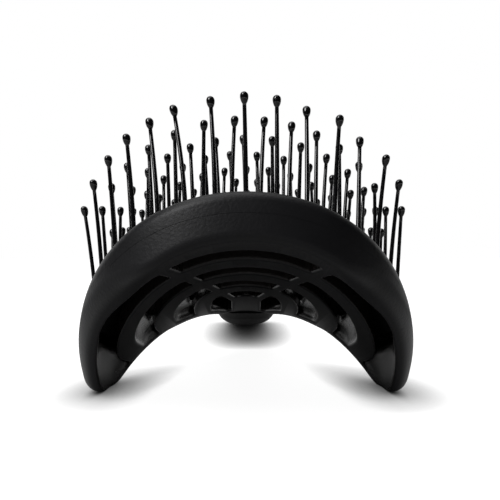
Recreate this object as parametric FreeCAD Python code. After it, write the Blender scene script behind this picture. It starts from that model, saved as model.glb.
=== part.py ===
"""Vented arch hair brush: pin deck, pin retainer plate, ribbed back frame, ball-tipped pins and handle.

The brush lies on its two side feet and the end of its handle, pins up. The pieces are drawn in the head's
own frame: x across, y from the front lip towards the handle, z up with zero on the crown line. At the end
they are tipped onto the floor, so that +Z is up, z = 0 is the floor and the origin is under the middle.
"""
import FreeCAD, Part
import math
import os

Vec = FreeCAD.Vector

# Head outline in plan
head_half_width = 41.0
front_depth = 52.0
front_exponent = 2.4
front_steps = 8
head_length = 116.0
neck_half_width = 10.0
rear_full_share = 0.34
rear_waist_share = 0.66
rear_waist_half_width = 15.6
outline_halvings = 40

# Arch of the head: outer skin, inner face and the parting line between the two mouldings
arch_half_width = 43.0
arch_rise = 37.0
slab_thickness = 10.3
inner_half_width = 37.0
inner_rise = 38.0
seam_depth = 4.9
seam_half_width = 39.0
seam_rise = 29.0
seam_gap = 0.1
edge_radius = 2.4
lip_radius = 1.8

# How the brush lies on its back
rest_tilt = 12.0
crown_height = 48.7

# Lower edge of the side walls, seen from the side
foot_front = 48.2
foot_rear = 62.0
foot_height = 4.4
lip_corner = 8.0
lip_corner_depth = 17.0
rear_corner = 86.0
rear_corner_depth = 20.0
edge_bend_radius = 14.0
lower_edge_radius = 3.0

# Pin deck, the space for the pins' root beads, and the retainer plate under them
deck_thickness = 2.0
skirt_wall = 2.0
nest_gap = 0.15
bead_radius = 1.0
bead_gap = 0.1
plate_thickness = 1.4
plate_gap = 0.1
plate_edge_drop = 3.0

# Pins
pin_height = 22.2
pin_root_radius = 0.5
pin_tip_radius = 0.42
ball_radius = 0.86
pin_sides = 6
pin_swing = 4.0
pin_hole_gap = 0.12
column_step = 4.5
column_count = 14
fan_share = 0.09
first_row = 5.2
row_pitch = 11.0
row_count = 9
pin_edge_margin = 3.5

# Vents of the deck and the plate, between the rows of pins
vent_width = 5.2
vent_half_span = 30.0
vent_edge_margin = 6.0
vent_steps = 4

# Slots, ribs and spokes of the back frame
rim_width = 10.0
rib_width = 9.5
slot_width = 9.5
frame_wall = 4.2
rib_sweep = 38.0
rib_outer_leg_shares = (0.90, 0.72, 0.455, 0.135)
rib_inner_leg_shares = (0.815, 0.59, 0.32)
rib_exponent = 2.9
rib_steps = 6
spoke_width = 2.6
spoke_front_half_width = 19.2
spoke_rear_half_width = 3.2
spoke_rear = 88.0

# Handle
handle_length = 97.0
handle_neck_half_width = 10.6
handle_neck_half_height = 5.9
handle_grip_half_width = 12.2
handle_grip_half_height = 8.0
handle_grip_share = 0.45
handle_end_half_width = 11.2
handle_end_half_height = 7.0
handle_round = 6.5
handle_round_share = 0.94
handle_bow_exponent = 1.5
neck_exponent = 5.0
grip_exponent = 2.5
handle_points = 16
handle_stations = 5
sleeve_thickness = 2.0
sleeve_gap = 0.05
collar_length = 18.0
cap_length = 18.0
spigot_length = 6.0
spigot_inset = 3.4
hang_hole_radius = 2.6
hang_hole_from_end = 7.4
tang_half_width = 6.0
tang_half_height = 1.4
tang_drop = 0.6
tang_length = 15.0
tang_gap = 0.1
end_flat_depth = 0.15

# One overrun for every cut
overrun = 8.0

tilt = math.radians(rest_tilt)
reach = head_length + handle_length
depth_below = slab_thickness + inner_rise + overrun


def floor_at(y):
    """Height of the floor in the head's frame, under the point y along the head."""
    return (y * math.sin(tilt) - crown_height) / math.cos(tilt)


# Shapes in plan and across the head

def skin_at(x):
    """Height of the outer skin."""
    return -arch_rise * (1 - math.sqrt(1 - (x / arch_half_width) ** 2))


def underside_at(x):
    """Height of the inner arch, down to where it springs."""
    share = min(abs(x) / inner_half_width, 1)
    return -slab_thickness - inner_rise * (1 - math.sqrt(1 - share ** 2))


def front_bow(x, inset):
    """How far the front of the outline, drawn in by inset, lies behind its own foremost point."""
    share = min(abs(x) / (head_half_width - inset), 1)
    return (front_depth - inset) * (1 - (1 - share ** front_exponent) ** (1 / front_exponent))


def plan_prism(inset):
    """Head outline, drawn in by inset: a blunt oval in front, a curve that narrows to the neck behind."""
    width = head_half_width - inset
    rear_length = head_length - front_depth
    end = head_length - inset
    points = []
    for step in range(-front_steps, front_steps + 1):
        x = width * math.sin(math.pi / 2 * step / front_steps)
        points.append(Vec(x, inset + front_bow(x, inset), 0))
    front = Part.BSplineCurve()
    front.interpolate(points, InitialTangent=Vec(0, -1, 0), FinalTangent=Vec(0, 1, 0))
    edges = [front.toShape()]
    for side in (-1, 1):
        curve = Part.BezierCurve()
        curve.setPoles([
            Vec(side * width, front_depth, 0),
            Vec(side * width, front_depth + rear_full_share * rear_length, 0),
            Vec(side * (rear_waist_half_width - inset), front_depth + rear_waist_share * rear_length, 0),
            Vec(side * (neck_half_width - inset), end, 0)])
        edges.append(curve.toShape())
    half = neck_half_width - inset
    edges.append(Part.makeLine(Vec(-half, end, 0), Vec(half, end, 0)))
    return upright(Part.Wire(Part.__sortEdges__(edges)))


def arch_region(half_width, rise, crown):
    """Everything under an elliptical arch whose crown is at the given height, along the whole head."""
    spring = crown - rise
    foot = -depth_below - overrun
    centre = Vec(0, -overrun, spring)
    major = Vec(half_width, -overrun, spring)
    crown_point = Vec(0, -overrun, crown)
    if half_width >= rise:
        ellipse = Part.Ellipse(major, crown_point, centre)
    else:
        ellipse = Part.Ellipse(crown_point, Vec(-half_width, -overrun, spring), centre)
    right = ellipse.parameter(major)
    left = ellipse.parameter(Vec(-half_width, -overrun, spring))
    arc = Part.ArcOfEllipse(ellipse, right, left).toShape()
    if arc.distToShape(Part.Vertex(crown_point))[0] > nest_gap:
        arc = Part.ArcOfEllipse(ellipse, left, right).toShape()
    corners = [
        Vec(-half_width, -overrun, spring),
        Vec(-half_width, -overrun, foot),
        Vec(half_width, -overrun, foot),
        major]
    edges = [arc]
    for first, second in zip(corners, corners[1:]):
        edges.append(Part.makeLine(first, second))
    face = Part.Face(Part.Wire(Part.__sortEdges__(edges)))
    return face.extrude(Vec(0, head_length + 2 * overrun, 0))


def under_skin(depth):
    """Everything more than depth below the outer skin of the arch."""
    return arch_region(arch_half_width - depth, arch_rise - depth, -depth)


def under_floor():
    """Everything below the floor that the brush lies on."""
    span = reach + 2 * overrun
    half = head_half_width + overrun
    block = Part.makeBox(2 * half, span, depth_below, Vec(-half, -overrun, -depth_below))
    block.rotate(Vec(0, 0, 0), Vec(1, 0, 0), rest_tilt)
    block.translate(Vec(0, 0, floor_at(0)))
    return block


def bent_line(corners, radius):
    """Edges of a line through corners, with an arc of the given radius at each corner inside it."""
    edges = []
    start = corners[0]
    for before, corner, after in zip(corners, corners[1:], corners[2:]):
        back = (before - corner).normalize()
        ahead = (after - corner).normalize()
        half_turn = (math.pi - back.getAngle(ahead)) / 2
        into = corner + back * radius * math.tan(half_turn)
        out = corner + ahead * radius * math.tan(half_turn)
        bisector = (back + ahead).normalize()
        middle = corner + bisector * radius * (1 / math.cos(half_turn) - 1)
        edges.append(Part.makeLine(start, into))
        edges.append(Part.Arc(into, middle, out).toShape())
        start = out
    edges.append(Part.makeLine(start, corners[-1]))
    return edges


def under_edge(height):
    """Everything lower than height above the side walls' lower edge: lip, front sweep, foot and rear sweep."""
    half = head_half_width + overrun
    end = head_length + overrun
    corners = [
        Vec(-half, -overrun, height - lip_corner_depth),
        Vec(-half, lip_corner, height - lip_corner_depth),
        Vec(-half, foot_front, height + floor_at(foot_front)),
        Vec(-half, foot_rear, height + floor_at(foot_rear)),
        Vec(-half, rear_corner, height - rear_corner_depth),
        Vec(-half, end, height - rear_corner_depth)]
    edges = bent_line(corners, edge_bend_radius)
    base = -depth_below - overrun
    below = [corners[-1], Vec(-half, end, base), Vec(-half, -overrun, base), corners[0]]
    for first, second in zip(below, below[1:]):
        edges.append(Part.makeLine(first, second))
    face = Part.Face(Part.Wire(Part.__sortEdges__(edges)))
    return face.extrude(Vec(2 * half, 0, 0))


def below_height(height):
    """Everything in the head lower than a height."""
    half = head_half_width + overrun
    corner = Vec(-half, -overrun, height - depth_below)
    return Part.makeBox(2 * half, head_length + 2 * overrun, depth_below, corner)


def upright(wire):
    """A closed plan outline, raised through the whole head."""
    prism = Part.Face(wire).extrude(Vec(0, 0, depth_below + overrun))
    prism.translate(Vec(0, 0, -depth_below))
    return prism


def joined(shapes):
    """One solid from several that meet."""
    return shapes[0].multiFuse(shapes[1:]).removeSplitter()


# Spokes, shared by the frame, the deck and the plate

def spoke_prisms(width):
    """Two straight spokes that draw together from the front rim to the neck."""
    prisms = []
    for side in (-1, 1):
        half = width / 2
        corners = [
            Vec(side * (spoke_front_half_width - half), 0, 0),
            Vec(side * (spoke_front_half_width + half), 0, 0),
            Vec(side * (spoke_rear_half_width + half), spoke_rear, 0),
            Vec(side * (spoke_rear_half_width + half), head_length, 0),
            Vec(side * (spoke_rear_half_width - half), head_length, 0),
            Vec(side * (spoke_rear_half_width - half), spoke_rear, 0)]
        prisms.append(upright(Part.makePolygon(corners + corners[:1])))
    return prisms


# Pins

deck_floor = deck_thickness + bead_gap
bead_depth = deck_floor + bead_radius
plate_top = bead_depth + bead_radius + bead_gap
plate_bottom = plate_top + plate_thickness
rib_top = plate_bottom + plate_gap


def column_angle(index):
    """Angle of a column of pins round the arch, from the crown."""
    return math.radians(index * column_step)


def bead_centre(index):
    """Place of a column's root beads across the head."""
    angle = column_angle(index)
    x = (arch_half_width - bead_depth) * math.sin(angle)
    z = (arch_rise - bead_depth) * math.cos(angle) - arch_rise
    return x, z


def row_y(row, x):
    """Place of a row along the head: rows bow with the front lip."""
    return first_row + row * row_pitch + front_bow(x, pin_edge_margin)


def ring(radius, height):
    """A regular polygon across the pin, with a corner towards +x."""
    corners = []
    for step in range(pin_sides + 1):
        turn = 2 * math.pi * step / pin_sides
        corners.append(Vec(radius * math.cos(turn), radius * math.sin(turn), height))
    return Part.makePolygon(corners)


def pin_solid(length):
    """One pin from the bead at its root to the ball on its tip, standing on the bead's centre."""
    flat = bead_radius / 2
    round_off = bead_radius * math.sqrt(0.75)
    ball_flat = ball_radius / 2
    ball_round_off = ball_radius * math.sqrt(0.75)
    stem_start = bead_radius * math.sqrt(0.75)
    ball_centre = length - ball_round_off
    rings = [
        ring(flat, -round_off),
        ring(bead_radius, 0),
        ring(pin_root_radius, stem_start),
        ring(pin_tip_radius, ball_centre - ball_round_off),
        ring(ball_radius, ball_centre),
        ring(ball_flat, length)]
    return Part.makeLoft(rings, True, True)


def stand_pin(shape, index, y):
    """Puts a shape drawn on the pin's axis at its place in the column."""
    angle = column_angle(index)
    x, z = bead_centre(index)
    placed = shape.copy()
    placed.rotate(Vec(0, 0, 0), Vec(0, 1, 0), math.degrees(angle) * fan_share)
    placed.translate(Vec(x, y, z))
    return placed


def half_outline_at(y, inset):
    """Half width of the plan outline, drawn in by inset, at a place along the head."""
    if y <= front_depth:
        share = min((front_depth - y) / (front_depth - inset), 1)
        return (head_half_width - inset) * (1 - share ** front_exponent) ** (1 / front_exponent)
    rear_length = head_length - front_depth
    low = 0.0
    high = 1.0
    for halving in range(outline_halvings):
        t = (low + high) / 2
        along = (
            3 * (1 - t) ** 2 * t * rear_full_share
            + 3 * (1 - t) * t ** 2 * rear_waist_share
            + t ** 3) * rear_length
        if along < y - front_depth:
            low = t
        else:
            high = t
    wide = (1 - t) ** 3 * head_half_width + 3 * (1 - t) ** 2 * t * head_half_width
    narrow = 3 * (1 - t) * t ** 2 * rear_waist_half_width + t ** 3 * neck_half_width
    return wide + narrow - inset


def column_rows(index):
    """Places along the head of a column's pins: every other row, staggered from column to column."""
    x, z = bead_centre(index)
    places = []
    for row in range(row_count):
        y = row_y(row, x)
        inside = y < head_length - pin_edge_margin and abs(x) < half_outline_at(y, pin_edge_margin)
        if (row + index) % 2 == 0 and inside:
            places.append(y)
    return places


columns = {}
for index in range(-column_count, column_count + 1):
    places = column_rows(index)
    if places:
        columns[index] = places


def skin_above_bead(index):
    """Height of the outer skin over a column's root beads."""
    x, z = bead_centre(index)
    return skin_at(x) - z


longest_seat = skin_above_bead(column_count)
plate_edge = bead_centre(column_count)[1] - plate_edge_drop
pin_hole_radius = pin_root_radius + longest_seat * math.tan(math.radians(pin_swing)) + pin_hole_gap


# Vents between the rows of pins

def bow_edge(y):
    """A vent's edge in plan, bowed like the rows of pins."""
    points = []
    for step in range(-vent_steps, vent_steps + 1):
        x = vent_half_span * step / vent_steps
        points.append(Vec(x, y + front_bow(x, pin_edge_margin), 0))
    curve = Part.BSplineCurve()
    curve.interpolate(points)
    return curve.toShape(), points[0], points[-1]


def vent_prisms():
    """Bowed slots between neighbouring rows of pins, parted by the spokes and kept off the edge."""
    bounds = plan_prism(vent_edge_margin)
    prisms = []
    for row in range(row_count - 1):
        front = first_row + (row + 1 / 2) * row_pitch - vent_width / 2
        near, near_left, near_right = bow_edge(front)
        far, far_left, far_right = bow_edge(front + vent_width)
        edges = [near, Part.makeLine(near_right, far_right), far, Part.makeLine(far_left, near_left)]
        prism = upright(Part.Wire(Part.__sortEdges__(edges))).common(bounds)
        prisms.extend(prism.cut(spoke_prisms(spoke_width)).Solids)
    return prisms


# Slots of the back frame

def horseshoe(half_width, crown_y):
    """Everything behind a rib's edge in plan: flat across the crown, bent round to straight legs."""
    points = []
    for step in range(2 * rib_steps + 1):
        turn = math.pi * step / (2 * rib_steps)
        across = math.copysign(abs(math.cos(turn)) ** (2 / rib_exponent), math.cos(turn))
        along = math.sin(turn) ** (2 / rib_exponent)
        points.append(Vec(half_width * across, crown_y + rib_sweep * (1 - along), 0))
    curve = Part.BSplineCurve()
    curve.interpolate(points, InitialTangent=Vec(0, -1, 0), FinalTangent=Vec(0, 1, 0))
    end = head_length + overrun
    corners = [points[-1], Vec(points[-1].x, end, 0), Vec(points[0].x, end, 0), points[0]]
    edges = [curve.toShape()]
    for first, second in zip(corners, corners[1:]):
        edges.append(Part.makeLine(first, second))
    return upright(Part.Wire(Part.__sortEdges__(edges)))


def slot_prisms():
    """Nested horseshoe slots between the rim, the ribs and the neck, parted by the two spokes."""
    bounds = plan_prism(frame_wall)
    rim_leg = head_half_width - frame_wall
    outer_shares = (1,) + rib_inner_leg_shares
    prisms = []
    for slot, inner_share in enumerate(rib_outer_leg_shares):
        front = rim_width + slot * (slot_width + rib_width)
        outer = horseshoe(rim_leg * outer_shares[slot], front)
        inner = horseshoe(rim_leg * inner_share, front + slot_width)
        band = outer.cut(inner).common(bounds)
        prisms.extend(band.cut(spoke_prisms(spoke_width)).Solids)
    return prisms


# Head mouldings

outline = plan_prism(0)
inner_arch = arch_region(inner_half_width, inner_rise, -slab_thickness)
lower_block = under_edge(0)
outer_block = outline.common(arch_region(arch_half_width, arch_rise, 0)).cut(lower_block)


def wall_edges(belongs):
    """Edges round the head's wall, without the neck, whose middle belongs to what is asked for."""
    chosen = []
    for edge in outer_block.Edges:
        middle = edge.valueAt((edge.FirstParameter + edge.LastParameter) / 2)
        off_wall = abs(abs(middle.x) - half_outline_at(middle.y, 0))
        if off_wall < nest_gap and middle.y < head_length - nest_gap and belongs(middle):
            chosen.append(edge)
    return chosen


def on_lower_edge(place):
    """Whether a place lies on the side walls' lower edge."""
    return lower_block.distToShape(Part.Vertex(place))[0] < nest_gap


def on_lip(place):
    """Whether a place lies on the inner arch."""
    return abs(place.z - underside_at(place.x)) < nest_gap


def on_skin(place):
    """Whether a place lies on the outer skin."""
    return abs(place.z - skin_at(place.x)) < nest_gap


outer_block = outer_block.makeFillet(lower_edge_radius, wall_edges(on_lower_edge))
outer_block = outer_block.cut(inner_arch)
outer_block = outer_block.makeFillet(lip_radius, wall_edges(on_lip))
outer_block = outer_block.makeFillet(edge_radius, wall_edges(on_skin))

vents = vent_prisms()


def below_seam(gap):
    """Everything under the parting line: the inner part of the arch, and the feet at full width."""
    arch = arch_region(seam_half_width - gap, seam_rise, -seam_depth - gap)
    return arch.fuse(under_edge(foot_height - gap))


def pin_deck():
    """Outer skin with its skirt, vents and one round hole for each pin."""
    hollow = plan_prism(skirt_wall).common(under_skin(deck_thickness))
    deck = outer_block.cut(below_seam(0)).cut(hollow)
    cutters = list(vents)
    for index, places in columns.items():
        hole = Part.makeCylinder(pin_hole_radius, longest_seat + overrun)
        for y in places:
            cutters.append(stand_pin(hole, index, y))
    return deck.cut(cutters)


def retainer_plate():
    """Arched plate that closes the space under the deck and holds the pins' root beads up in it."""
    plate = plan_prism(skirt_wall + nest_gap).common(under_skin(plate_top)).cut(under_skin(plate_bottom))
    return plate.cut(below_height(plate_edge)).cut(vents)


def back_frame():
    """Rim, nested ribs, spokes and neck of the underside, with the tang that the handle slides onto."""
    nest = plan_prism(skirt_wall + nest_gap)
    bead_space = nest.cut([under_skin(rib_top), below_height(plate_edge - nest_gap)])
    wall = outer_block.common(below_seam(seam_gap)).cut(bead_space)
    inner = outer_block.common(nest.common(under_skin(rib_top)))
    frame = wall.fuse(inner).cut(slot_prisms())
    root = tang_length / 2
    tang = Part.makeBox(
        2 * tang_half_width, tang_length + root, 2 * tang_half_height,
        Vec(-tang_half_width, head_length - root, tang_centre - tang_half_height))
    return joined([frame, tang])


# Handle

tang_centre = -rib_top - tang_drop - tang_half_height
neck_centre = -slab_thickness / 2
end_y = head_length + handle_length - handle_round
end_centre = floor_at(end_y) + handle_end_half_height - end_flat_depth


def eased(start, stop, share):
    """A value that leaves start and reaches stop without a corner."""
    return start + (stop - start) * share ** 2 * (3 - 2 * share)


def handle_section(y, inset):
    """The handle's outline across y, drawn in by inset: squarer at the neck, oval at the grip."""
    along = y - head_length
    grip = handle_length * handle_grip_share
    end = handle_length - handle_round
    if along <= grip:
        share = along / grip
        half_width = eased(handle_neck_half_width, handle_grip_half_width, share)
        half_height = eased(handle_neck_half_height, handle_grip_half_height, share)
        exponent = eased(neck_exponent, grip_exponent, share)
    elif along <= end:
        share = (along - grip) / (end - grip)
        half_width = eased(handle_grip_half_width, handle_end_half_width, share)
        half_height = eased(handle_grip_half_height, handle_end_half_height, share)
        exponent = grip_exponent
    else:
        share = (along - end) / handle_round
        drawn_in = handle_round * (1 - math.sqrt(1 - (share * handle_round_share) ** 2))
        half_width = handle_end_half_width - drawn_in
        half_height = handle_end_half_height - drawn_in
        exponent = grip_exponent
    centre = neck_centre + (end_centre - neck_centre) * (along / end) ** handle_bow_exponent
    points = []
    for step in range(handle_points):
        turn = 2 * math.pi * step / handle_points
        across = math.copysign(abs(math.cos(turn)) ** (2 / exponent), math.cos(turn))
        up = math.copysign(abs(math.sin(turn)) ** (2 / exponent), math.sin(turn))
        points.append(Vec((half_width - inset) * across, y, centre + (half_height - inset) * up))
    curve = Part.BSplineCurve()
    curve.interpolate(points, PeriodicFlag=True)
    return Part.Wire([curve.toShape()])


def handle_length_of(start, stop, inset):
    """The stretch of the handle from start to stop, drawn in by inset."""
    sections = []
    for step in range(handle_stations):
        y = start + (stop - start) * step / (handle_stations - 1)
        sections.append(handle_section(y, inset))
    return Part.makeLoft(sections, True)


collar_end = head_length + collar_length
cap_start = head_length + handle_length - cap_length
spigot_end = cap_start + spigot_length
handle_end = head_length + handle_length


def handle_core():
    """Hard core: a collar behind the head, a stem under the sleeve and a spigot for the end cap."""
    collar = handle_length_of(head_length + tang_gap, collar_end, 0)
    stem = handle_length_of(collar_end - sleeve_thickness, cap_start, sleeve_thickness)
    spigot = handle_length_of(cap_start - sleeve_thickness, spigot_end, spigot_inset)
    half_width = tang_half_width + tang_gap
    half_height = tang_half_height + tang_gap
    socket = Part.makeBox(
        2 * half_width, tang_length + tang_gap, 2 * half_height,
        Vec(-half_width, head_length, tang_centre - half_height))
    return joined([collar, stem, spigot]).cut(socket)


def grip_sleeve():
    """Soft sleeve over the stem, flush with the collar and the end cap."""
    outer = handle_length_of(collar_end + sleeve_gap, cap_start - sleeve_gap, 0)
    bore_inset = sleeve_thickness - sleeve_gap
    inner = handle_length_of(collar_end - sleeve_thickness, cap_start + sleeve_thickness, bore_inset)
    return outer.cut(inner)


def end_cap():
    """Rounded end with the hanging hole, pushed onto the spigot."""
    cap = handle_length_of(cap_start, end_y, 0)
    nose = handle_length_of(end_y, handle_end, 0)
    socket = handle_length_of(cap_start - sleeve_thickness, spigot_end + sleeve_gap, spigot_inset - sleeve_gap)
    hole = Part.makeCylinder(
        hang_hole_radius, 4 * handle_end_half_height,
        Vec(0, handle_end - hang_hole_from_end, end_centre - 2 * handle_end_half_height))
    return joined([cap, nose]).cut([socket, hole, under_floor()])


# The brush, tipped onto the floor

pieces = {
    "pin_deck": pin_deck(),
    "pin_retainer_plate": retainer_plate(),
    "back_frame": back_frame(),
    "handle_core": handle_core(),
    "grip_sleeve": grip_sleeve(),
    "end_cap": end_cap()}
for number, index in enumerate(columns, start=1):
    pin = pin_solid(pin_height + skin_above_bead(index))
    pins = [stand_pin(pin, index, y) for y in columns[index]]
    pieces["pin_column_%02d" % number] = Part.makeCompound(pins)

for shape in pieces.values():
    shape.rotate(Vec(0, 0, 0), Vec(1, 0, 0), -rest_tilt)
    shape.translate(Vec(0, 0, crown_height))
front = pieces["back_frame"].optimalBoundingBox().YMin
rear = pieces["end_cap"].optimalBoundingBox().YMax

os.makedirs("parts", exist_ok=True)
for name, shape in pieces.items():
    shape.translate(Vec(0, -(front + rear) / 2, 0))
    shape.exportStep("parts/%s.step" % name)
    print(name, len(shape.Solids), round(shape.Volume, 1), shape.isValid())
print("pins", sum(len(places) for places in columns.values()), "length", round(rear - front, 2))
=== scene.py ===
"""Dresses the vented arch hair brush: moulded head, ball-tipped pins and soft-gripped handle, pins up."""
import math

import bmesh
import bpy
import numpy as np
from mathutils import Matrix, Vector


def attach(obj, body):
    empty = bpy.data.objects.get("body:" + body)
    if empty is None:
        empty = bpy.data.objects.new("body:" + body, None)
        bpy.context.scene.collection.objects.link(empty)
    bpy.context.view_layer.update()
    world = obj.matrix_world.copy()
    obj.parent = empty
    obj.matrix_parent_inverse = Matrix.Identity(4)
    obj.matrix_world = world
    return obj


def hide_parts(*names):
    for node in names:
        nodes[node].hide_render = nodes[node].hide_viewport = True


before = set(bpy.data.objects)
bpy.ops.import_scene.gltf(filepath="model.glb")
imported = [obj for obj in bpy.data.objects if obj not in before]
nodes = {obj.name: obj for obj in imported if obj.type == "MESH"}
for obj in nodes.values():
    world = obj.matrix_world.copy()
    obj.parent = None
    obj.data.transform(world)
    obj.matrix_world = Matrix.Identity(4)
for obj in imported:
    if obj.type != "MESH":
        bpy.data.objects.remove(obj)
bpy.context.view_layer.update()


# Back frame
# The ribbed underside of the head: one black, lacquered moulding with a broad front rim, nested horseshoe
# ribs, two spokes and side walls that end in feet. Its edges are rounded, as the mould leaves them. It is
# worked out in millimetres in the head's own frame, as a field of distances, then tipped as the brush lies.

rest_tilt = math.radians(12)
crown_height = 48.7
head_origin = Vector((0, -0.1037208, 0.0487))
head_half_width = 41.0
front_depth = 52.0
front_exponent = 2.4
head_length = 116.0
neck_half_width = 10.0
waist_half_width = 15.6
rear_full_share = 0.34
rear_waist_share = 0.66
arch_half_width = 43.0
arch_rise = 37.0
slab_thickness = 10.3
inner_half_width = 37.0
inner_rise = 38.0
seam_depth = 4.9
seam_half_width = 39.0
seam_rise = 29.0
seam_gap = 0.04
foot_height = 4.4
foot_front = 48.2
foot_rear = 62.0
lip_corner = (8.0, -17.0)
rear_corner = (86.0, -20.0)
edge_bend_radius = 14.0
edge_bend_steps = 8
edge_overrun = 14.0
crown_edge_radius = 2.4
lip_radius = 1.8
foot_edge_radius = 3.0
leg_edge_radius = 0.7
mould_edge_radius = 0.5
lip_end = 6.0
lip_blend = 20.0
frame_wall = 4.2
skirt_wall = 2.0
nest_gap = 0.15
rib_top = 5.7
plate_edge = -24.75
least_slope = 0.004

grain_pitch = 0.4
across = np.arange(-43.0, 43.01, grain_pitch)
along = np.arange(-2.0, 118.01, grain_pitch)
height = np.arange(-42.0, 2.01, grain_pitch)
plan_x, plan_y = np.meshgrid(across, along, indexing="ij")
face_x, face_z = np.meshgrid(across, height, indexing="ij")


def to_world(points):
    """Points of the head's own frame, in millimetres, as places of the brush as it lies, in metres."""
    x, y, z = np.asarray(points, float).T / 1000
    turned_y = y * math.cos(rest_tilt) + z * math.sin(rest_tilt)
    turned_z = z * math.cos(rest_tilt) - y * math.sin(rest_tilt)
    return np.stack([x + head_origin.x, turned_y + head_origin.y, turned_z + head_origin.z], axis=1)


def shared(first, second, radius):
    """Distance to what two shapes share, with the edge between them rounded."""
    spill = np.hypot(np.maximum(first + radius, 0), np.maximum(second + radius, 0))
    return np.minimum(np.maximum(first, second), -radius) + spill


def oval(half_width, depth, crown_y, exponent):
    """Distance in plan to a blunt oval front that runs back as straight legs."""
    x = np.maximum(np.abs(plan_x), 1e-6) / half_width
    y = np.maximum(crown_y + depth - plan_y, 0) / depth
    reach = (x ** exponent + y ** exponent) ** (1 / exponent)
    slope = np.hypot(x ** (exponent - 1) / half_width, y ** (exponent - 1) / depth)
    slope = slope * reach ** (1 - exponent)
    return (reach - 1) / np.maximum(slope, least_slope)


def plan_outline():
    """Distance to the head's outline in plan: a blunt oval in front, a curve that narrows to the neck."""
    share = np.linspace(0, 1, 300)
    rear_length = head_length - front_depth
    waist = 3 * (1 - share) * share ** 2
    full = 3 * (1 - share) ** 2 * share
    rear_y = front_depth + rear_length * (rear_full_share * full + rear_waist_share * waist + share ** 3)
    rear_x = head_half_width * ((1 - share) ** 3 + full)
    rear_x = rear_x + waist_half_width * waist + neck_half_width * share ** 3
    half = np.interp(plan_y, rear_y, rear_x)
    lean = np.gradient(half, grain_pitch, axis=1)
    rear = (np.abs(plan_x) - half) / np.sqrt(1 + lean ** 2)
    front = oval(head_half_width, front_depth, 0.0, front_exponent)
    outline = np.where(plan_y <= front_depth, front, rear)
    return np.maximum(outline, plan_y - head_length)


def arch(half_width, rise, crown):
    """Distance to an elliptical arch with straight legs, seen along the head."""
    x = np.abs(face_x) / half_width
    z = np.maximum(face_z - (crown - rise), 0) / rise
    reach = np.hypot(x, z)
    fall = np.maximum(np.hypot(x / half_width, z / rise), least_slope)
    round_part = reach * (reach - 1) / fall
    return np.where(z > 0, round_part, np.abs(face_x) - half_width)[:, None, :]


def floor_under(y):
    """Height of the table in the head's frame."""
    return (y * math.sin(rest_tilt) - crown_height) / math.cos(rest_tilt)


def lower_edge():
    """Height of the side walls' lower edge along the head, with its bends drawn round."""
    feet = [(y, floor_under(y)) for y in (foot_front, foot_rear)]
    before_lip = (-lip_corner[0], lip_corner[1])
    past_neck = (head_length + edge_overrun, rear_corner[1])
    corners = [before_lip, lip_corner, *feet, rear_corner, past_neck]
    line = [corners[0]]
    for before, corner, after in zip(corners, corners[1:], corners[2:]):
        back = Vector(before) - Vector(corner)
        ahead = Vector(after) - Vector(corner)
        reach = edge_bend_radius * math.tan((math.pi - back.angle(ahead)) / 2)
        into = Vector(corner) + back.normalized() * reach
        out = Vector(corner) + ahead.normalized() * reach
        for step in range(edge_bend_steps + 1):
            share = step / edge_bend_steps
            bend = into * (1 - share) ** 2 + Vector(corner) * 2 * share * (1 - share)
            line.append(bend + out * share ** 2)
    line.append(corners[-1])
    return np.interp(along, [place[0] for place in line], [place[1] for place in line])


outline = plan_outline()
edge_z = lower_edge()
edge_slope = np.cos(np.arctan(np.gradient(edge_z, grain_pitch)))
above_edge = ((edge_z - height[:, None]) * edge_slope).T[None, :, :]
outer_skin = arch(arch_half_width, arch_rise, 0.0)
under_arch = -arch(inner_half_width, inner_rise, -slab_thickness)
wall = outline[:, :, None]
turn_down = np.clip((along - lip_end) / lip_blend, 0, 1)[None, :, None]
inner_edge = lip_radius + (leg_edge_radius - lip_radius) * turn_down
head_block = shared(shared(wall, above_edge, foot_edge_radius), under_arch, inner_edge)
head_block = shared(head_block, outer_skin, crown_edge_radius)

rim_width = 10.0
rib_pitch = 19.0
slot_width = 9.5
slot_round = 1.0
rib_sweep = 38.0
rib_exponent = 2.9
spoke_width = 2.6
spoke_front = 19.2
spoke_rear = 3.2
spoke_length = 88.0
spoke_slant = 0.984
spoke_round = 1.2
far_off = 50.0
outer_legs = (1.0, 0.815, 0.59, 0.32)
inner_legs = (0.90, 0.72, 0.455, 0.135)
pocket_tops = (-27.5, -18.0, -11.5, -10.0)
pocket_depth = 2.6
pocket_round = 1.3


def horseshoe(half_width, crown_y):
    """Distance to a rib's edge in plan: flat across the crown, bent round to straight legs."""
    return oval(half_width, rib_sweep, crown_y, rib_exponent)


spoke_x = spoke_front - (spoke_front - spoke_rear) * plan_y / spoke_length
spoke_x = np.where(plan_y < spoke_length, spoke_x, spoke_rear)
spokes = np.abs(np.abs(plan_x) - spoke_x) * spoke_slant - spoke_width / 2
leg_reach = head_half_width - frame_wall
slots = np.full_like(plan_x, far_off)
pocket_top = np.zeros_like(plan_x)
for place, (outer_leg, inner_leg) in enumerate(zip(outer_legs, inner_legs)):
    crown_y = rim_width + rib_pitch * place
    front_side = horseshoe(leg_reach * outer_leg, crown_y)
    rear_side = horseshoe(leg_reach * inner_leg, crown_y + slot_width)
    slot = shared(front_side, -rear_side, slot_round)
    slot = shared(slot, outline + frame_wall, slot_round)
    slot = shared(slot, -spokes, spoke_round)
    pocket_top = np.where(slot < slots, pocket_tops[place], pocket_top)
    slots = np.minimum(slots, slot)
through = np.minimum(pocket_top[:, :, None] - height, -under_arch - pocket_depth)
cuts = shared(slots[:, :, None], through, pocket_round)

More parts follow.
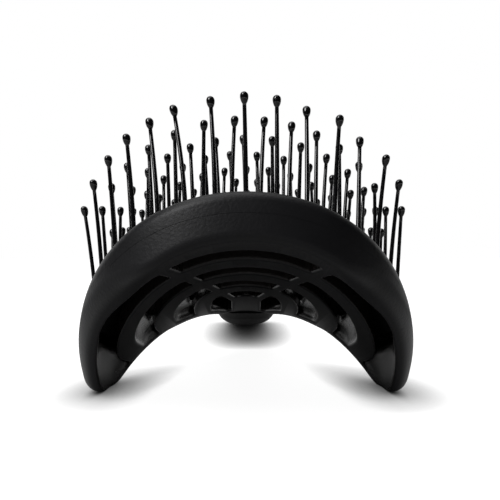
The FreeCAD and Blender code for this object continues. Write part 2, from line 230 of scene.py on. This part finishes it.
seam = arch(seam_half_width, seam_rise, -seam_depth)
foot_strip = -above_edge - foot_height
below_seam = np.minimum(seam, foot_strip)
above_ribs = -arch(arch_half_width - rib_top, arch_rise - rib_top, -rib_top)
bead_space = np.maximum(wall + skirt_wall + nest_gap, above_ribs)
bead_space = np.maximum(bead_space, plate_edge - height[None, None, :])
frame_parting = below_seam + seam_gap
frame_field = np.maximum(head_block, frame_parting)
frame_field = shared(np.maximum(frame_field, -bead_space), -cuts, mould_edge_radius)


def skin_of(field):
    """Quads over the zero surface of a field, with one point in each cell of the grid that it crosses."""
    inside = field < 0
    shape = np.array(field.shape)
    corners = [np.array((i, j, k)) for i in (0, 1) for j in (0, 1) for k in (0, 1)]
    count = np.zeros(shape - 1, np.int8)
    for i, j, k in corners:
        count += inside[i:shape[0] - 1 + i, j:shape[1] - 1 + j, k:shape[2] - 1 + k]
    mixed = (count > 0) & (count < 8)
    number = np.full(mixed.shape, -1)
    number[mixed] = np.arange(mixed.sum())
    cells = np.argwhere(mixed)
    total = np.zeros((len(cells), 3))
    hits = np.zeros(len(cells))
    for start in corners:
        for axis in range(3):
            if start[axis]:
                continue
            stop = start.copy()
            stop[axis] = 1
            first = field[tuple((cells + start).T)]
            second = field[tuple((cells + stop).T)]
            crossed = (first < 0) != (second < 0)
            share = first[crossed] / (first[crossed] - second[crossed])
            total[crossed] += cells[crossed] + start + share[:, None] * (stop - start)
            hits[crossed] += 1
    points = total / hits[:, None]
    quads = []
    for axis in range(3):
        one, two = [other for other in range(3) if other != axis]
        ahead = np.roll(inside, -1, axis)
        changed = inside != ahead
        keep = [slice(1, -1)] * 3
        keep[axis] = slice(0, -1)
        spots = np.argwhere(changed[tuple(keep)])
        spots += [0 if other == axis else 1 for other in range(3)]
        ring = []
        for step_one, step_two in ((0, 0), (1, 0), (1, 1), (0, 1)):
            cell = spots.copy()
            cell[:, one] -= step_one
            cell[:, two] -= step_two
            ring.append(number[tuple(cell.T)])
        faces = np.stack(ring, axis=1)
        facing = ~inside[tuple(spots.T)] if axis != 1 else inside[tuple(spots.T)]
        faces[facing] = faces[facing][:, ::-1]
        quads.append(faces)
    return points, np.concatenate(quads)


grid_start = np.array((across[0], along[0], height[0]))
grid_margin = 0.001
line_reach = 0.85 * grain_pitch
settling_turns = 4
least_crossing = 0.05
parting_depth = 0.06
parting_band = 1.2
least_steepness = 0.5
satin_and_light_start = 1.4
satin_and_light_blend = 1.6
slot_start = 0.05
slot_blend = 0.25
rib_dullness = 1.5


def value_at(field, places):
    """A field's values at places between the grid's points."""
    last = np.array(field.shape) - (1 + grid_margin)
    spot = np.clip((places - grid_start) / grain_pitch, grid_margin, last)
    base = spot.astype(int)
    part = spot - base
    value = np.zeros(len(places))
    for corner in np.ndindex(2, 2, 2):
        weight = np.prod(np.where(corner, part, 1 - part), axis=1)
        value += weight * field[tuple((base + corner).T)]
    return value


def slope_at(field, places):
    """Which way a field grows at those places, and how fast."""
    slopes = []
    for step in np.eye(3) * grain_pitch:
        rise = value_at(field, places + step) - value_at(field, places - step)
        slopes.append(rise / (2 * grain_pitch))
    return np.stack(slopes, axis=1)


def drawn_to_parting(points, parting):
    """Points with those next to the parting line drawn onto it, so that the line is crisp."""
    on_skin = np.abs(value_at(head_block, points)) < line_reach
    chosen = on_skin & (np.abs(value_at(parting, points)) < line_reach)
    edge = points[chosen]
    for turn in range(settling_turns):
        off_skin = value_at(head_block, edge)
        off_line = value_at(parting, edge)
        skin_slope = slope_at(head_block, edge)
        line_slope = slope_at(parting, edge)
        skin_steep = (skin_slope ** 2).sum(axis=1)
        line_steep = (line_slope ** 2).sum(axis=1)
        mixed = (skin_slope * line_slope).sum(axis=1)
        share = np.maximum(skin_steep * line_steep - mixed ** 2, least_crossing)
        skin_move = (mixed * off_line - line_steep * off_skin) / share
        line_move = (mixed * off_skin - skin_steep * off_line) / share
        edge = edge + skin_move[:, None] * skin_slope + line_move[:, None] * line_slope
    moved = np.clip(edge - points[chosen], -grain_pitch, grain_pitch)
    points[chosen] += moved
    return points


def moulding(name, field, parting, keep_share, slot_satin_and_light):
    """A moulded piece from its field, thinned where it is smooth, with normals taken from the field."""
    points, quads = skin_of(field)
    points = drawn_to_parting(points * grain_pitch + grid_start, parting)
    rough = bpy.data.meshes.new(name + "_rough")
    rough.from_pydata(points, [], quads.tolist())
    piece = bpy.data.objects.new(name, rough)
    bpy.context.scene.collection.objects.link(piece)
    thin = piece.modifiers.new("thin", "DECIMATE")
    thin.ratio = keep_share
    thinned = piece.evaluated_get(bpy.context.evaluated_depsgraph_get())
    mesh = bpy.data.meshes.new_from_object(thinned)
    mesh.name = name
    piece.modifiers.clear()
    piece.data = mesh
    bpy.data.meshes.remove(rough)
    places = np.zeros(3 * len(mesh.vertices))
    mesh.vertices.foreach_get("co", places)
    places = places.reshape(-1, 3)
    by_parting = value_at(head_block, places) > -parting_depth
    by_parting = by_parting & (np.abs(value_at(parting, places)) < parting_band)
    normals = np.where(by_parting[:, None], slope_at(head_block, places), slope_at(field, places))
    off_surface = np.where(by_parting, value_at(head_block, places), value_at(field, places))
    steepness = np.maximum(np.linalg.norm(normals, axis=1), 1e-9)
    normals /= steepness[:, None]
    drawn = off_surface / np.maximum(steepness, least_steepness)
    drawn = np.clip(drawn, -grain_pitch / 2, grain_pitch / 2)
    places -= normals * drawn[:, None]
    if slot_satin_and_light:
        depth = -value_at(np.broadcast_to(wall, head_block.shape), places)
        inside = np.clip((depth - satin_and_light_start) / satin_and_light_blend, 0, 1)
        in_slot = np.clip((-value_at(head_block, places) - slot_start) / slot_blend, 0, 1)
        # This attribute gives slot walls a glossier finish and a painted lighter colour, and gives the ribs
        # only a duller finish.
        satin_and_slot_light = mesh.attributes.new("satin_and_slot_light", "FLOAT", "POINT")
        satin_and_slot_light.data.foreach_set("value", inside * (in_slot * (1 + rib_dullness) - rib_dullness))
    ends = to_world(places + normals)
    starts = to_world(places)
    mesh.vertices.foreach_set("co", starts.ravel())
    for face in mesh.polygons:
        face.use_smooth = True
    mesh.normals_split_custom_set_from_vertices(((ends - starts) * 1000).tolist())
    return piece


mark_shades = (0.85, 1.2)
wear_spread = 0.06
satin_polish = -0.2
# The slot walls' colour is lighter and warmer than the lacquer: painted light that stands in for the light
# reaching into the slots.
painted_slot_light = (0.013, 0.0112, 0.0104, 1.0)


def moulded_black(name, colour, roughness, gloss):
    """Matte black plastic with the fine grain and the faint handling marks of a soft-touch lacquer, and
    painted light on slot walls.
    """
    material = bpy.data.materials.new(name)
    material.use_nodes = True
    tree = material.node_tree
    shader = tree.nodes["Principled BSDF"]
    shader.inputs["Specular IOR Level"].default_value = gloss
    place = tree.nodes.new("ShaderNodeTexCoord")
    grain = tree.nodes.new("ShaderNodeTexNoise")
    grain.inputs["Scale"].default_value = 1600.0
    grain.inputs["Detail"].default_value = 3.0
    marks = tree.nodes.new("ShaderNodeTexNoise")
    marks.inputs["Scale"].default_value = 60.0
    marks.inputs["Detail"].default_value = 5.0
    tint = tree.nodes.new("ShaderNodeValToRGB")
    tint.color_ramp.elements[0].position = 0.35
    tint.color_ramp.elements[0].color = tuple(mark_shades[0] * part for part in colour) + (1.0,)
    tint.color_ramp.elements[1].position = 0.7
    tint.color_ramp.elements[1].color = tuple(mark_shades[1] * part for part in colour) + (1.0,)
    wear = tree.nodes.new("ShaderNodeMapRange")
    wear.inputs["To Min"].default_value = roughness - wear_spread
    wear.inputs["To Max"].default_value = roughness + wear_spread
    satin_and_slot_light = tree.nodes.new("ShaderNodeAttribute")
    satin_and_slot_light.attribute_name = "satin_and_slot_light"
    polish = tree.nodes.new("ShaderNodeMath")
    polish.operation = "MULTIPLY_ADD"
    polish.inputs[1].default_value = satin_polish
    bump = tree.nodes.new("ShaderNodeBump")
    bump.inputs["Strength"].default_value = 0.7
    bump.inputs["Distance"].default_value = 0.00008
    for texture in (grain, marks):
        tree.links.new(place.outputs["Object"], texture.inputs["Vector"])
    tree.links.new(marks.outputs["Fac"], tint.inputs["Fac"])
    # Where the attribute marks slot walls, the colour turns to the lighter, warm one: painted light in the
    # slots.
    painted_slot_light_mix = tree.nodes.new("ShaderNodeMix")
    painted_slot_light_mix.data_type = "RGBA"
    painted_slot_light_mix.inputs["B"].default_value = painted_slot_light
    tree.links.new(satin_and_slot_light.outputs["Fac"], painted_slot_light_mix.inputs["Factor"])
    tree.links.new(tint.outputs["Color"], painted_slot_light_mix.inputs["A"])
    tree.links.new(painted_slot_light_mix.outputs["Result"], shader.inputs["Base Color"])
    tree.links.new(marks.outputs["Fac"], wear.inputs["Value"])
    tree.links.new(satin_and_slot_light.outputs["Fac"], polish.inputs[0])
    tree.links.new(wear.outputs["Result"], polish.inputs[2])
    tree.links.new(polish.outputs["Value"], shader.inputs["Roughness"])
    tree.links.new(grain.outputs["Fac"], bump.inputs["Height"])
    tree.links.new(bump.outputs["Normal"], shader.inputs["Normal"])
    return material


lacquer_black = moulded_black("soft_touch_lacquer", (0.007, 0.007, 0.008), roughness=0.46, gloss=0.22)
rounded_frame = moulding(
    "rounded_back_frame", frame_field, frame_parting, keep_share=0.5, slot_satin_and_light=True)
rounded_frame.data.materials.append(lacquer_black)
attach(rounded_frame, "brush")
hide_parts("back_frame")


# Retainer plate
# A thin black moulding between deck and frame, which holds the pins' root beads up in their seats. It is
# only glimpsed through the slots, so the carried-over plate keeps its shape and gets a plain moulded finish.

def dress(node, material):
    """Gives a carried-over node its finish."""
    piece = nodes[node]
    piece.data.materials.clear()
    piece.data.materials.append(material)


plate_black = moulded_black("plate_black", (0.004, 0.004, 0.004), roughness=0.7, gloss=0.1)
dress("pin_retainer_plate", plate_black)


# Pins
# Each pin is one moulding of black nylon: a root bead held under the deck, a slim tapering stem and a
# rounded ball on a drawn-in neck. They stand in staggered rows and lean each by a little of its own.

pin_sides = 14
bead_radius = 0.0010
stem_root_radius = 0.00052
stem_tip_radius = 0.00042
ball_radius = 0.00090
egg_drop = 0.0017
swell_exponent = 2.2
bead_turn = 0.8
stem_start = 0.0022
held_length = 0.0040
bend_exponent = 1.5
bead_steps = 6
stem_steps = 12
ball_steps = 6
end_points = 6
front_leans = (
    (-1.2, -2.5), (-0.7, -2.5), (-0.7, -1.5), (-1.1, -1.0), (-1.7, 1.0), (-2.5, 1.0), (-0.9, 0.0),
    (-0.4, -2.0), (-0.2, -1.0), (-0.1, 2.0), (0.6, -2.0), (0.4, 2.5), (1.0, -2.5), (0.8, -2.5), (-0.4, -2.5))
free_lean = 0.9
column_turn = 2.4
pin_turn = 1.7
lean_rates = (5.1, 3.7)
up_in_head = Vector((0, math.sin(rest_tilt), math.cos(rest_tilt)))


def pin_islands(node):
    """Root and tip of each of the column's pins, read from the carried-over solids."""
    mesh = bmesh.new()
    mesh.from_mesh(nodes[node].data)
    bmesh.ops.remove_doubles(mesh, verts=mesh.verts, dist=1e-6)
    mesh.verts.index_update()
    left = set(mesh.verts)
    found = []
    while left:
        start = min(left, key=lambda v: v.index)
        reached = {start}
        front = [start]
        while front:
            vertex = front.pop()
            for edge in vertex.link_edges:
                other = edge.other_vert(vertex)
                if other not in reached:
                    reached.add(other)
                    front.append(other)
        left -= reached
        places = [vertex.co.copy() for vertex in reached]
        ordered = sorted(places, key=lambda co: (co.dot(up_in_head), co.x, co.y))
        root = sum(ordered[:end_points], Vector()) / end_points
        tip = sum(ordered[-end_points:], Vector()) / end_points
        found.append((root, tip))
    mesh.free()
    return sorted(found, key=lambda pair: pair[0].y)


def pin_profile(length):
    """Height and radius along a pin, from under the root bead to the crown of its egg-shaped ball."""
    rows = []
    for step in range(bead_steps + 1):
        turn = math.pi * (step / bead_steps * bead_turn)
        rows.append((bead_radius * (1 - math.cos(turn)), bead_radius * math.sin(turn)))
    middle = length - ball_radius
    for step in range(stem_steps + 1):
        share = step / stem_steps
        level = stem_start + (middle - egg_drop - stem_start) * share
        rows.append((level, stem_root_radius + (stem_tip_radius - stem_root_radius) * share))
    for step in range(1, ball_steps + 1):
        share = 1 - step / ball_steps
        swell = (ball_radius - stem_tip_radius) * (1 - share ** swell_exponent)
        rows.append((middle - egg_drop * share, stem_tip_radius + swell))
    for step in range(1, ball_steps + 1):
        turn = math.pi / 2 * step / ball_steps
        rows.append((middle + ball_radius * math.sin(turn), ball_radius * math.cos(turn)))
    return rows


nylon_black = bpy.data.materials.new("pin_nylon_black")
nylon_black.use_nodes = True
nylon = nylon_black.node_tree.nodes["Principled BSDF"]
nylon.inputs["IOR"].default_value = 1.53
tree = nylon_black.node_tree
place = tree.nodes.new("ShaderNodeTexCoord")
flow = tree.nodes.new("ShaderNodeTexNoise")
flow.inputs["Scale"].default_value = 420.0
flow.inputs["Detail"].default_value = 4.0
shade = tree.nodes.new("ShaderNodeValToRGB")
shade.color_ramp.elements[0].color = (0.002, 0.002, 0.002, 1.0)
shade.color_ramp.elements[1].color = (0.005, 0.005, 0.006, 1.0)
polish = tree.nodes.new("ShaderNodeMapRange")
polish.inputs["To Min"].default_value = 0.08
polish.inputs["To Max"].default_value = 0.18
tree.links.new(place.outputs["Object"], flow.inputs["Vector"])
tree.links.new(flow.outputs["Fac"], shade.inputs["Fac"])
tree.links.new(shade.outputs["Color"], nylon.inputs["Base Color"])
tree.links.new(flow.outputs["Fac"], polish.inputs["Value"])
tree.links.new(polish.outputs["Result"], nylon.inputs["Roughness"])


def lean_of(column, number):
    """How far a pin's ball stands off its straight line: in the front row as seen, elsewhere a little."""
    if number == 0 and column % 2 == 0:
        return Vector(front_leans[column // 2]).to_3d() / 1000
    turn = column_turn * column + pin_turn * number
    spread = Vector((math.sin(lean_rates[0] * turn), math.cos(lean_rates[1] * turn), 0))
    return spread * free_lean / 1000


pin_places = {}
for column, node in enumerate(sorted(name for name in nodes if name.startswith("pin_column_"))):
    pin_places[node] = pin_islands(node)
    mesh = bmesh.new()
    for number, (root, tip) in enumerate(pin_places[node]):
        lean = lean_of(column, number)
        axis = (tip - root).normalized()
        length = (tip - root).length
        side = axis.cross(Vector((0, 1, 0))).normalized()
        front = axis.cross(side)
        last = None
        for level, radius in pin_profile(length):
            bent = max(level - held_length, 0) / (length - held_length)
            centre = root + axis * level + lean * bent ** bend_exponent
            ring = []
            for step in range(pin_sides):
                turn = 2 * math.pi * step / pin_sides
                spread = side * math.cos(turn) + front * math.sin(turn)
                ring.append(mesh.verts.new(centre + spread * max(radius, 1e-5)))
            if last:
                for step in range(pin_sides):
                    beside = (step + 1) % pin_sides
                    mesh.faces.new((last[step], last[beside], ring[beside], ring[step]))
            else:
                mesh.faces.new(list(reversed(ring)))
            last = ring
        mesh.faces.new(last)
    bmesh.ops.recalc_face_normals(mesh, faces=mesh.faces)
    data = bpy.data.meshes.new("round_" + node)
    mesh.to_mesh(data)
    mesh.free()
    for face in data.polygons:
        face.use_smooth = True
    data.materials.append(nylon_black)
    pins = bpy.data.objects.new("round_" + node, data)
    bpy.context.scene.collection.objects.link(pins)
    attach(pins, node + "_body")
    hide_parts(node)


# Pin deck
# The outer skin of the head: a thin, black, lacquered moulding with a rounded edge, a skirt down to the
# parting line, bowed vents between the rows of pins and a round hole for each pin. It is pushed down over
# the frame.

row_pitch = 11.0
first_row = 5.2
row_inset = 3.5
vent_count = 8
vent_width = 5.2
vent_reach = 30.0
vent_inset = 6.0
vent_round = 1.0
vent_edge_radius = 0.7
deck_wall = 2.0
pin_hole_radius = 1.0
pin_hole_edge_radius = 0.2
hole_reach_across = 6.0
hole_reach_along = 3.0
well_inside = -9.0
under_deck = arch(arch_half_width - deck_wall, arch_rise - deck_wall, -deck_wall)
hollow = np.maximum(wall + skirt_wall, under_deck)
bow_share = np.minimum(np.abs(across) / (head_half_width - row_inset), 1)
bow = (front_depth - row_inset) * (1 - (1 - bow_share ** front_exponent) ** (1 / front_exponent))
bow_slope = np.cos(np.arctan(np.gradient(bow, grain_pitch)))[:, None]
vents = np.full_like(plan_x, far_off)
for row in range(vent_count):
    middle_y = first_row + (row + 0.5) * row_pitch + bow[:, None]
    vent = np.abs(plan_y - middle_y) * bow_slope - vent_width / 2
    vent = shared(vent, np.abs(plan_x) - vent_reach, vent_round)
    vent = shared(vent, outline + vent_inset, vent_round)
    vents = np.minimum(vents, shared(vent, -spokes, vent_round))

deck_parting = seam_gap - below_seam
deck_field = np.maximum(head_block, deck_parting)
deck_field = shared(np.maximum(deck_field, -hollow), -vents[:, :, None], vent_edge_radius)
for places in pin_places.values():
    for root, tip in places:
        ends = []
        for place in (root, tip):
            offset = (place - head_origin) * 1000
            ends.append((
                offset.x,
                offset.y * math.cos(rest_tilt) - offset.z * math.sin(rest_tilt),
                offset.y * math.sin(rest_tilt) + offset.z * math.cos(rest_tilt)))
        (root_x, root_y, root_z), (tip_x, tip_y, tip_z) = ends
        near_x = np.abs(across - root_x) < hole_reach_across
        near_y = np.abs(along - root_y) < hole_reach_along
        share = (height - root_z) / (tip_z - root_z)
        centre_x = root_x + (tip_x - root_x) * share
        centre_y = root_y + (tip_y - root_y) * share
        bore = np.hypot(
            across[near_x][:, None, None] - centre_x[None, None, :],
            along[near_y][None, :, None] - centre_y[None, None, :]) - pin_hole_radius
        spot = np.ix_(near_x, near_y, np.ones(len(height), bool))
        bored = np.where(height > root_z, -bore, well_inside)
        deck_field[spot] = shared(deck_field[spot], bored, pin_hole_edge_radius)

rounded_deck = moulding(
    "rounded_pin_deck", deck_field, deck_parting, keep_share=0.4, slot_satin_and_light=False)
rounded_deck.data.materials.append(lacquer_black)
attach(rounded_deck, "brush")
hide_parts("pin_deck")


# Handle
# A hard black core with a collar behind the head, a soft rubber sleeve over its stem, and a rounded end cap
# with a hanging hole. The head's tang is pushed into the collar.

sleeve_rubber = bpy.data.materials.new("sleeve_rubber")
sleeve_rubber.use_nodes = True
tree = sleeve_rubber.node_tree
rubber = tree.nodes["Principled BSDF"]
rubber.inputs["Specular IOR Level"].default_value = 0.2
place = tree.nodes.new("ShaderNodeTexCoord")
pebbles = tree.nodes.new("ShaderNodeTexVoronoi")
pebbles.inputs["Scale"].default_value = 1400.0
dust = tree.nodes.new("ShaderNodeTexNoise")
dust.inputs["Scale"].default_value = 90.0
dust.inputs["Detail"].default_value = 6.0
shade = tree.nodes.new("ShaderNodeValToRGB")
shade.color_ramp.elements[0].color = (0.009, 0.009, 0.009, 1.0)
shade.color_ramp.elements[1].color = (0.017, 0.017, 0.018, 1.0)
dullness = tree.nodes.new("ShaderNodeMapRange")
dullness.inputs["To Min"].default_value = 0.66
dullness.inputs["To Max"].default_value = 0.84
bump = tree.nodes.new("ShaderNodeBump")
bump.inputs["Strength"].default_value = 0.35
bump.inputs["Distance"].default_value = 0.0001
for texture in (pebbles, dust):
    tree.links.new(place.outputs["Object"], texture.inputs["Vector"])
tree.links.new(dust.outputs["Fac"], shade.inputs["Fac"])
tree.links.new(shade.outputs["Color"], rubber.inputs["Base Color"])
tree.links.new(dust.outputs["Fac"], dullness.inputs["Value"])
tree.links.new(dullness.outputs["Result"], rubber.inputs["Roughness"])
tree.links.new(pebbles.outputs["Distance"], bump.inputs["Height"])
tree.links.new(bump.outputs["Normal"], rubber.inputs["Normal"])

dress("handle_core", plate_black)
dress("end_cap", lacquer_black)
dress("grip_sleeve", sleeve_rubber)


# Photographer's table
# White card that fades into a white room, so that only the shadows near the brush are left on it: these are
# painted contact shadows, the card's glow dimmed where the brush closes it in, and its colour is darkened
# under the brush as painted shade. In reflections only, the card glows by distance from the brush, a painted
# reflection.
# One soft lamp hangs above and a smaller one on the left puts the glints on the pins. A black flag round the
# front, and a ceiling that is dark only in mirrors, keep the gloss black. The camera stands as high as the
# arch.

def worked(tree, operation, first, second):
    """What two sockets give together."""
    step = tree.nodes.new("ShaderNodeMath")
    step.operation = operation
    tree.links.new(first, step.inputs[0])
    tree.links.new(second, step.inputs[1])
    return step.outputs["Value"]


def in_mirrors(tree):
    """One where the surface is mirrored or seen through something clear."""
    path = tree.nodes.new("ShaderNodeLightPath")
    return worked(tree, "MAXIMUM", path.outputs["Is Glossy Ray"], path.outputs["Is Transmission Ray"])


floor_half = 3.0
painted_contact_reach = 0.013
painted_under_shade_reach = 0.06
# Glow of the card as seen only in reflections, by distance from the brush: a painted reflection.
painted_reflection_levels = ((0.0, 0.95), (0.085, 0.95), (0.13, 0.08), (0.6, 0.0), (1.4, 1.0))
floor_mesh = bpy.data.meshes.new("white_sweep")
corner_signs = ((-1, -1), (1, -1), (1, 1), (-1, 1))
floor_corners = [(floor_half * x, floor_half * y, 0) for x, y in corner_signs]
floor_mesh.from_pydata(floor_corners, [], [(0, 1, 2, 3)])
floor = bpy.data.objects.new("white_sweep", floor_mesh)
bpy.context.scene.collection.objects.link(floor)
card = bpy.data.materials.new("white_card")
card.use_nodes = True
tree = card.node_tree
matte = tree.nodes["Principled BSDF"]
matte.inputs["Roughness"].default_value = 0.6
place = tree.nodes.new("ShaderNodeTexCoord")
distance = tree.nodes.new("ShaderNodeVectorMath")
distance.operation = "LENGTH"
tree.links.new(place.outputs["Object"], distance.inputs[0])
# The card's white glow, as the camera sees it, is dimmed where the brush closes it in: painted contact
# shadows.
painted_contact_shadow = tree.nodes.new("ShaderNodeAmbientOcclusion")
painted_contact_shadow.inputs["Distance"].default_value = painted_contact_reach
# The card's colour darkens where the brush hangs over it: painted shade under the brush, which also darkens
# its glow in reflections.
painted_under_shade = tree.nodes.new("ShaderNodeAmbientOcclusion")
painted_under_shade.inputs["Distance"].default_value = painted_under_shade_reach
painted_under_shade.inputs["Color"].default_value = (0.30, 0.30, 0.30, 1.0)
tree.links.new(painted_under_shade.outputs["Color"], matte.inputs["Base Color"])
whiteness = tree.nodes.new("ShaderNodeMapRange")
whiteness.inputs["From Min"].default_value = 0.10
whiteness.inputs["From Max"].default_value = 0.42
whiteness.inputs["To Min"].default_value = 0.95
tree.links.new(distance.outputs["Value"], whiteness.inputs["Value"])
path = tree.nodes.new("ShaderNodeLightPath")
painted_contact_darkening = worked(tree, "MULTIPLY", painted_contact_shadow.outputs["AO"], painted_contact_shadow.outputs["AO"])
seen = worked(tree, "MULTIPLY", whiteness.outputs["Result"], painted_contact_darkening)
seen = worked(tree, "MULTIPLY", seen, path.outputs["Is Camera Ray"])
# In reflections only, the card glows by its distance from the brush: bright close by, dark from 0.13 m and
# white far off. This is a painted reflection, darkened under the brush by the painted shade.
reach = tree.nodes.new("ShaderNodeMapRange")
reach.inputs["From Max"].default_value = painted_reflection_levels[-1][0]
tree.links.new(distance.outputs["Value"], reach.inputs["Value"])
painted_reflection = tree.nodes.new("ShaderNodeValToRGB")
for number, (far, strength) in enumerate(painted_reflection_levels):
    stops = painted_reflection.color_ramp.elements
    stop = stops[0] if number == 0 else stops.new(far / painted_reflection_levels[-1][0])
    stop.color = (strength, strength, strength, 1.0)
stops.remove(stops[len(stops) - 1])
tree.links.new(reach.outputs["Result"], painted_reflection.inputs["Fac"])
painted_under_shade_in_reflections = worked(tree, "MULTIPLY", painted_under_shade.outputs["AO"], painted_under_shade.outputs["AO"])
mirrored = worked(tree, "MULTIPLY", painted_reflection.outputs["Color"], painted_under_shade_in_reflections)
mirrored = worked(tree, "MULTIPLY", mirrored, in_mirrors(tree))
glow = tree.nodes.new("ShaderNodeEmission")
tree.links.new(worked(tree, "ADD", seen, mirrored), glow.inputs["Strength"])
both = tree.nodes.new("ShaderNodeAddShader")
tree.links.new(matte.outputs["BSDF"], both.inputs[0])
tree.links.new(glow.outputs["Emission"], both.inputs[1])
tree.links.new(both.outputs["Shader"], tree.nodes["Material Output"].inputs["Surface"])
floor_mesh.materials.append(card)

world = bpy.data.worlds.new("white_room")
bpy.context.scene.world = world
world.use_nodes = True
tree = world.node_tree
background = tree.nodes["Background"]
background.inputs["Color"].default_value = (1, 1, 1, 1)
level = tree.nodes.new("ShaderNodeMapRange")
level.inputs["To Min"].default_value = 0.08
level.inputs["To Max"].default_value = 1.0
path = tree.nodes.new("ShaderNodeLightPath")
direction = tree.nodes.new("ShaderNodeTexCoord")
upward = tree.nodes.new("ShaderNodeSeparateXYZ")
tree.links.new(direction.outputs["Generated"], upward.inputs["Vector"])
ceiling = tree.nodes.new("ShaderNodeMapRange")
ceiling.inputs["From Min"].default_value = 0.2
ceiling.inputs["From Max"].default_value = 0.6
ceiling.inputs["To Min"].default_value = 1.0
ceiling.inputs["To Max"].default_value = 0.05
tree.links.new(upward.outputs["Z"], ceiling.inputs["Value"])
mirrored = worked(tree, "MULTIPLY", in_mirrors(tree), ceiling.outputs["Result"])
tree.links.new(worked(tree, "MAXIMUM", mirrored, path.outputs["Is Camera Ray"]), level.inputs["Value"])
tree.links.new(level.outputs["Result"], background.inputs["Strength"])

velvet = bpy.data.materials.new("black_velvet")
velvet.use_nodes = True
cloth = velvet.node_tree.nodes["Principled BSDF"]
cloth.inputs["Base Color"].default_value = (0.01, 0.01, 0.01, 1.0)
cloth.inputs["Roughness"].default_value = 0.9
flag_bottom = 0.065
flag_top = 1.8
flag_foot = (
    (-0.60, 0.40), (-0.70, 0.05), (-0.75, -0.30), (-0.50, -0.70), (-0.10, -0.75),
    (0.35, -0.60), (0.62, -0.30), (0.66, 0.05), (0.60, 0.40))
flag_mesh = bpy.data.meshes.new("black_flag")
corners = [(x, y, z) for x, y in flag_foot for z in (flag_bottom, flag_top)]
panels = [(2 * step, 2 * step + 2, 2 * step + 3, 2 * step + 1) for step in range(len(flag_foot) - 1)]
flag_mesh.from_pydata(corners, [], panels)
flag_mesh.materials.append(velvet)
flag = bpy.data.objects.new("black_flag", flag_mesh)
bpy.context.scene.collection.objects.link(flag)
flag.visible_camera = False


def softbox(name, place, aim, size, watts):
    """A square lamp that faces a point of the brush."""
    lamp = bpy.data.lights.new(name, "AREA")
    lamp.size = size
    lamp.energy = watts
    holder = bpy.data.objects.new(name, lamp)
    holder.location = place
    holder.rotation_euler = (Vector(aim) - Vector(place)).to_track_quat("-Z", "Y").to_euler()
    bpy.context.scene.collection.objects.link(holder)


softbox("softbox_left", (-0.44, -0.42, 0.55), (0, -0.06, 0.03), 0.36, 4.8)
softbox("softbox_above", (-0.15, 0.05, 0.9), (0, 0, 0), 0.8, 4.0)

lens = bpy.data.cameras.new("table_camera")
lens.lens = 46.08
lens.sensor_width = 36.0
lens.shift_x = 0.008
lens.shift_y = 0.004
lens.clip_start = 0.01
camera = bpy.data.objects.new("table_camera", lens)
camera.location = (0.0, -0.22786, 0.0363)
camera.rotation_euler = (math.radians(90), 0, 0)
bpy.context.scene.collection.objects.link(camera)
bpy.context.scene.camera = camera
bpy.context.scene.view_settings.view_transform = "Standard"
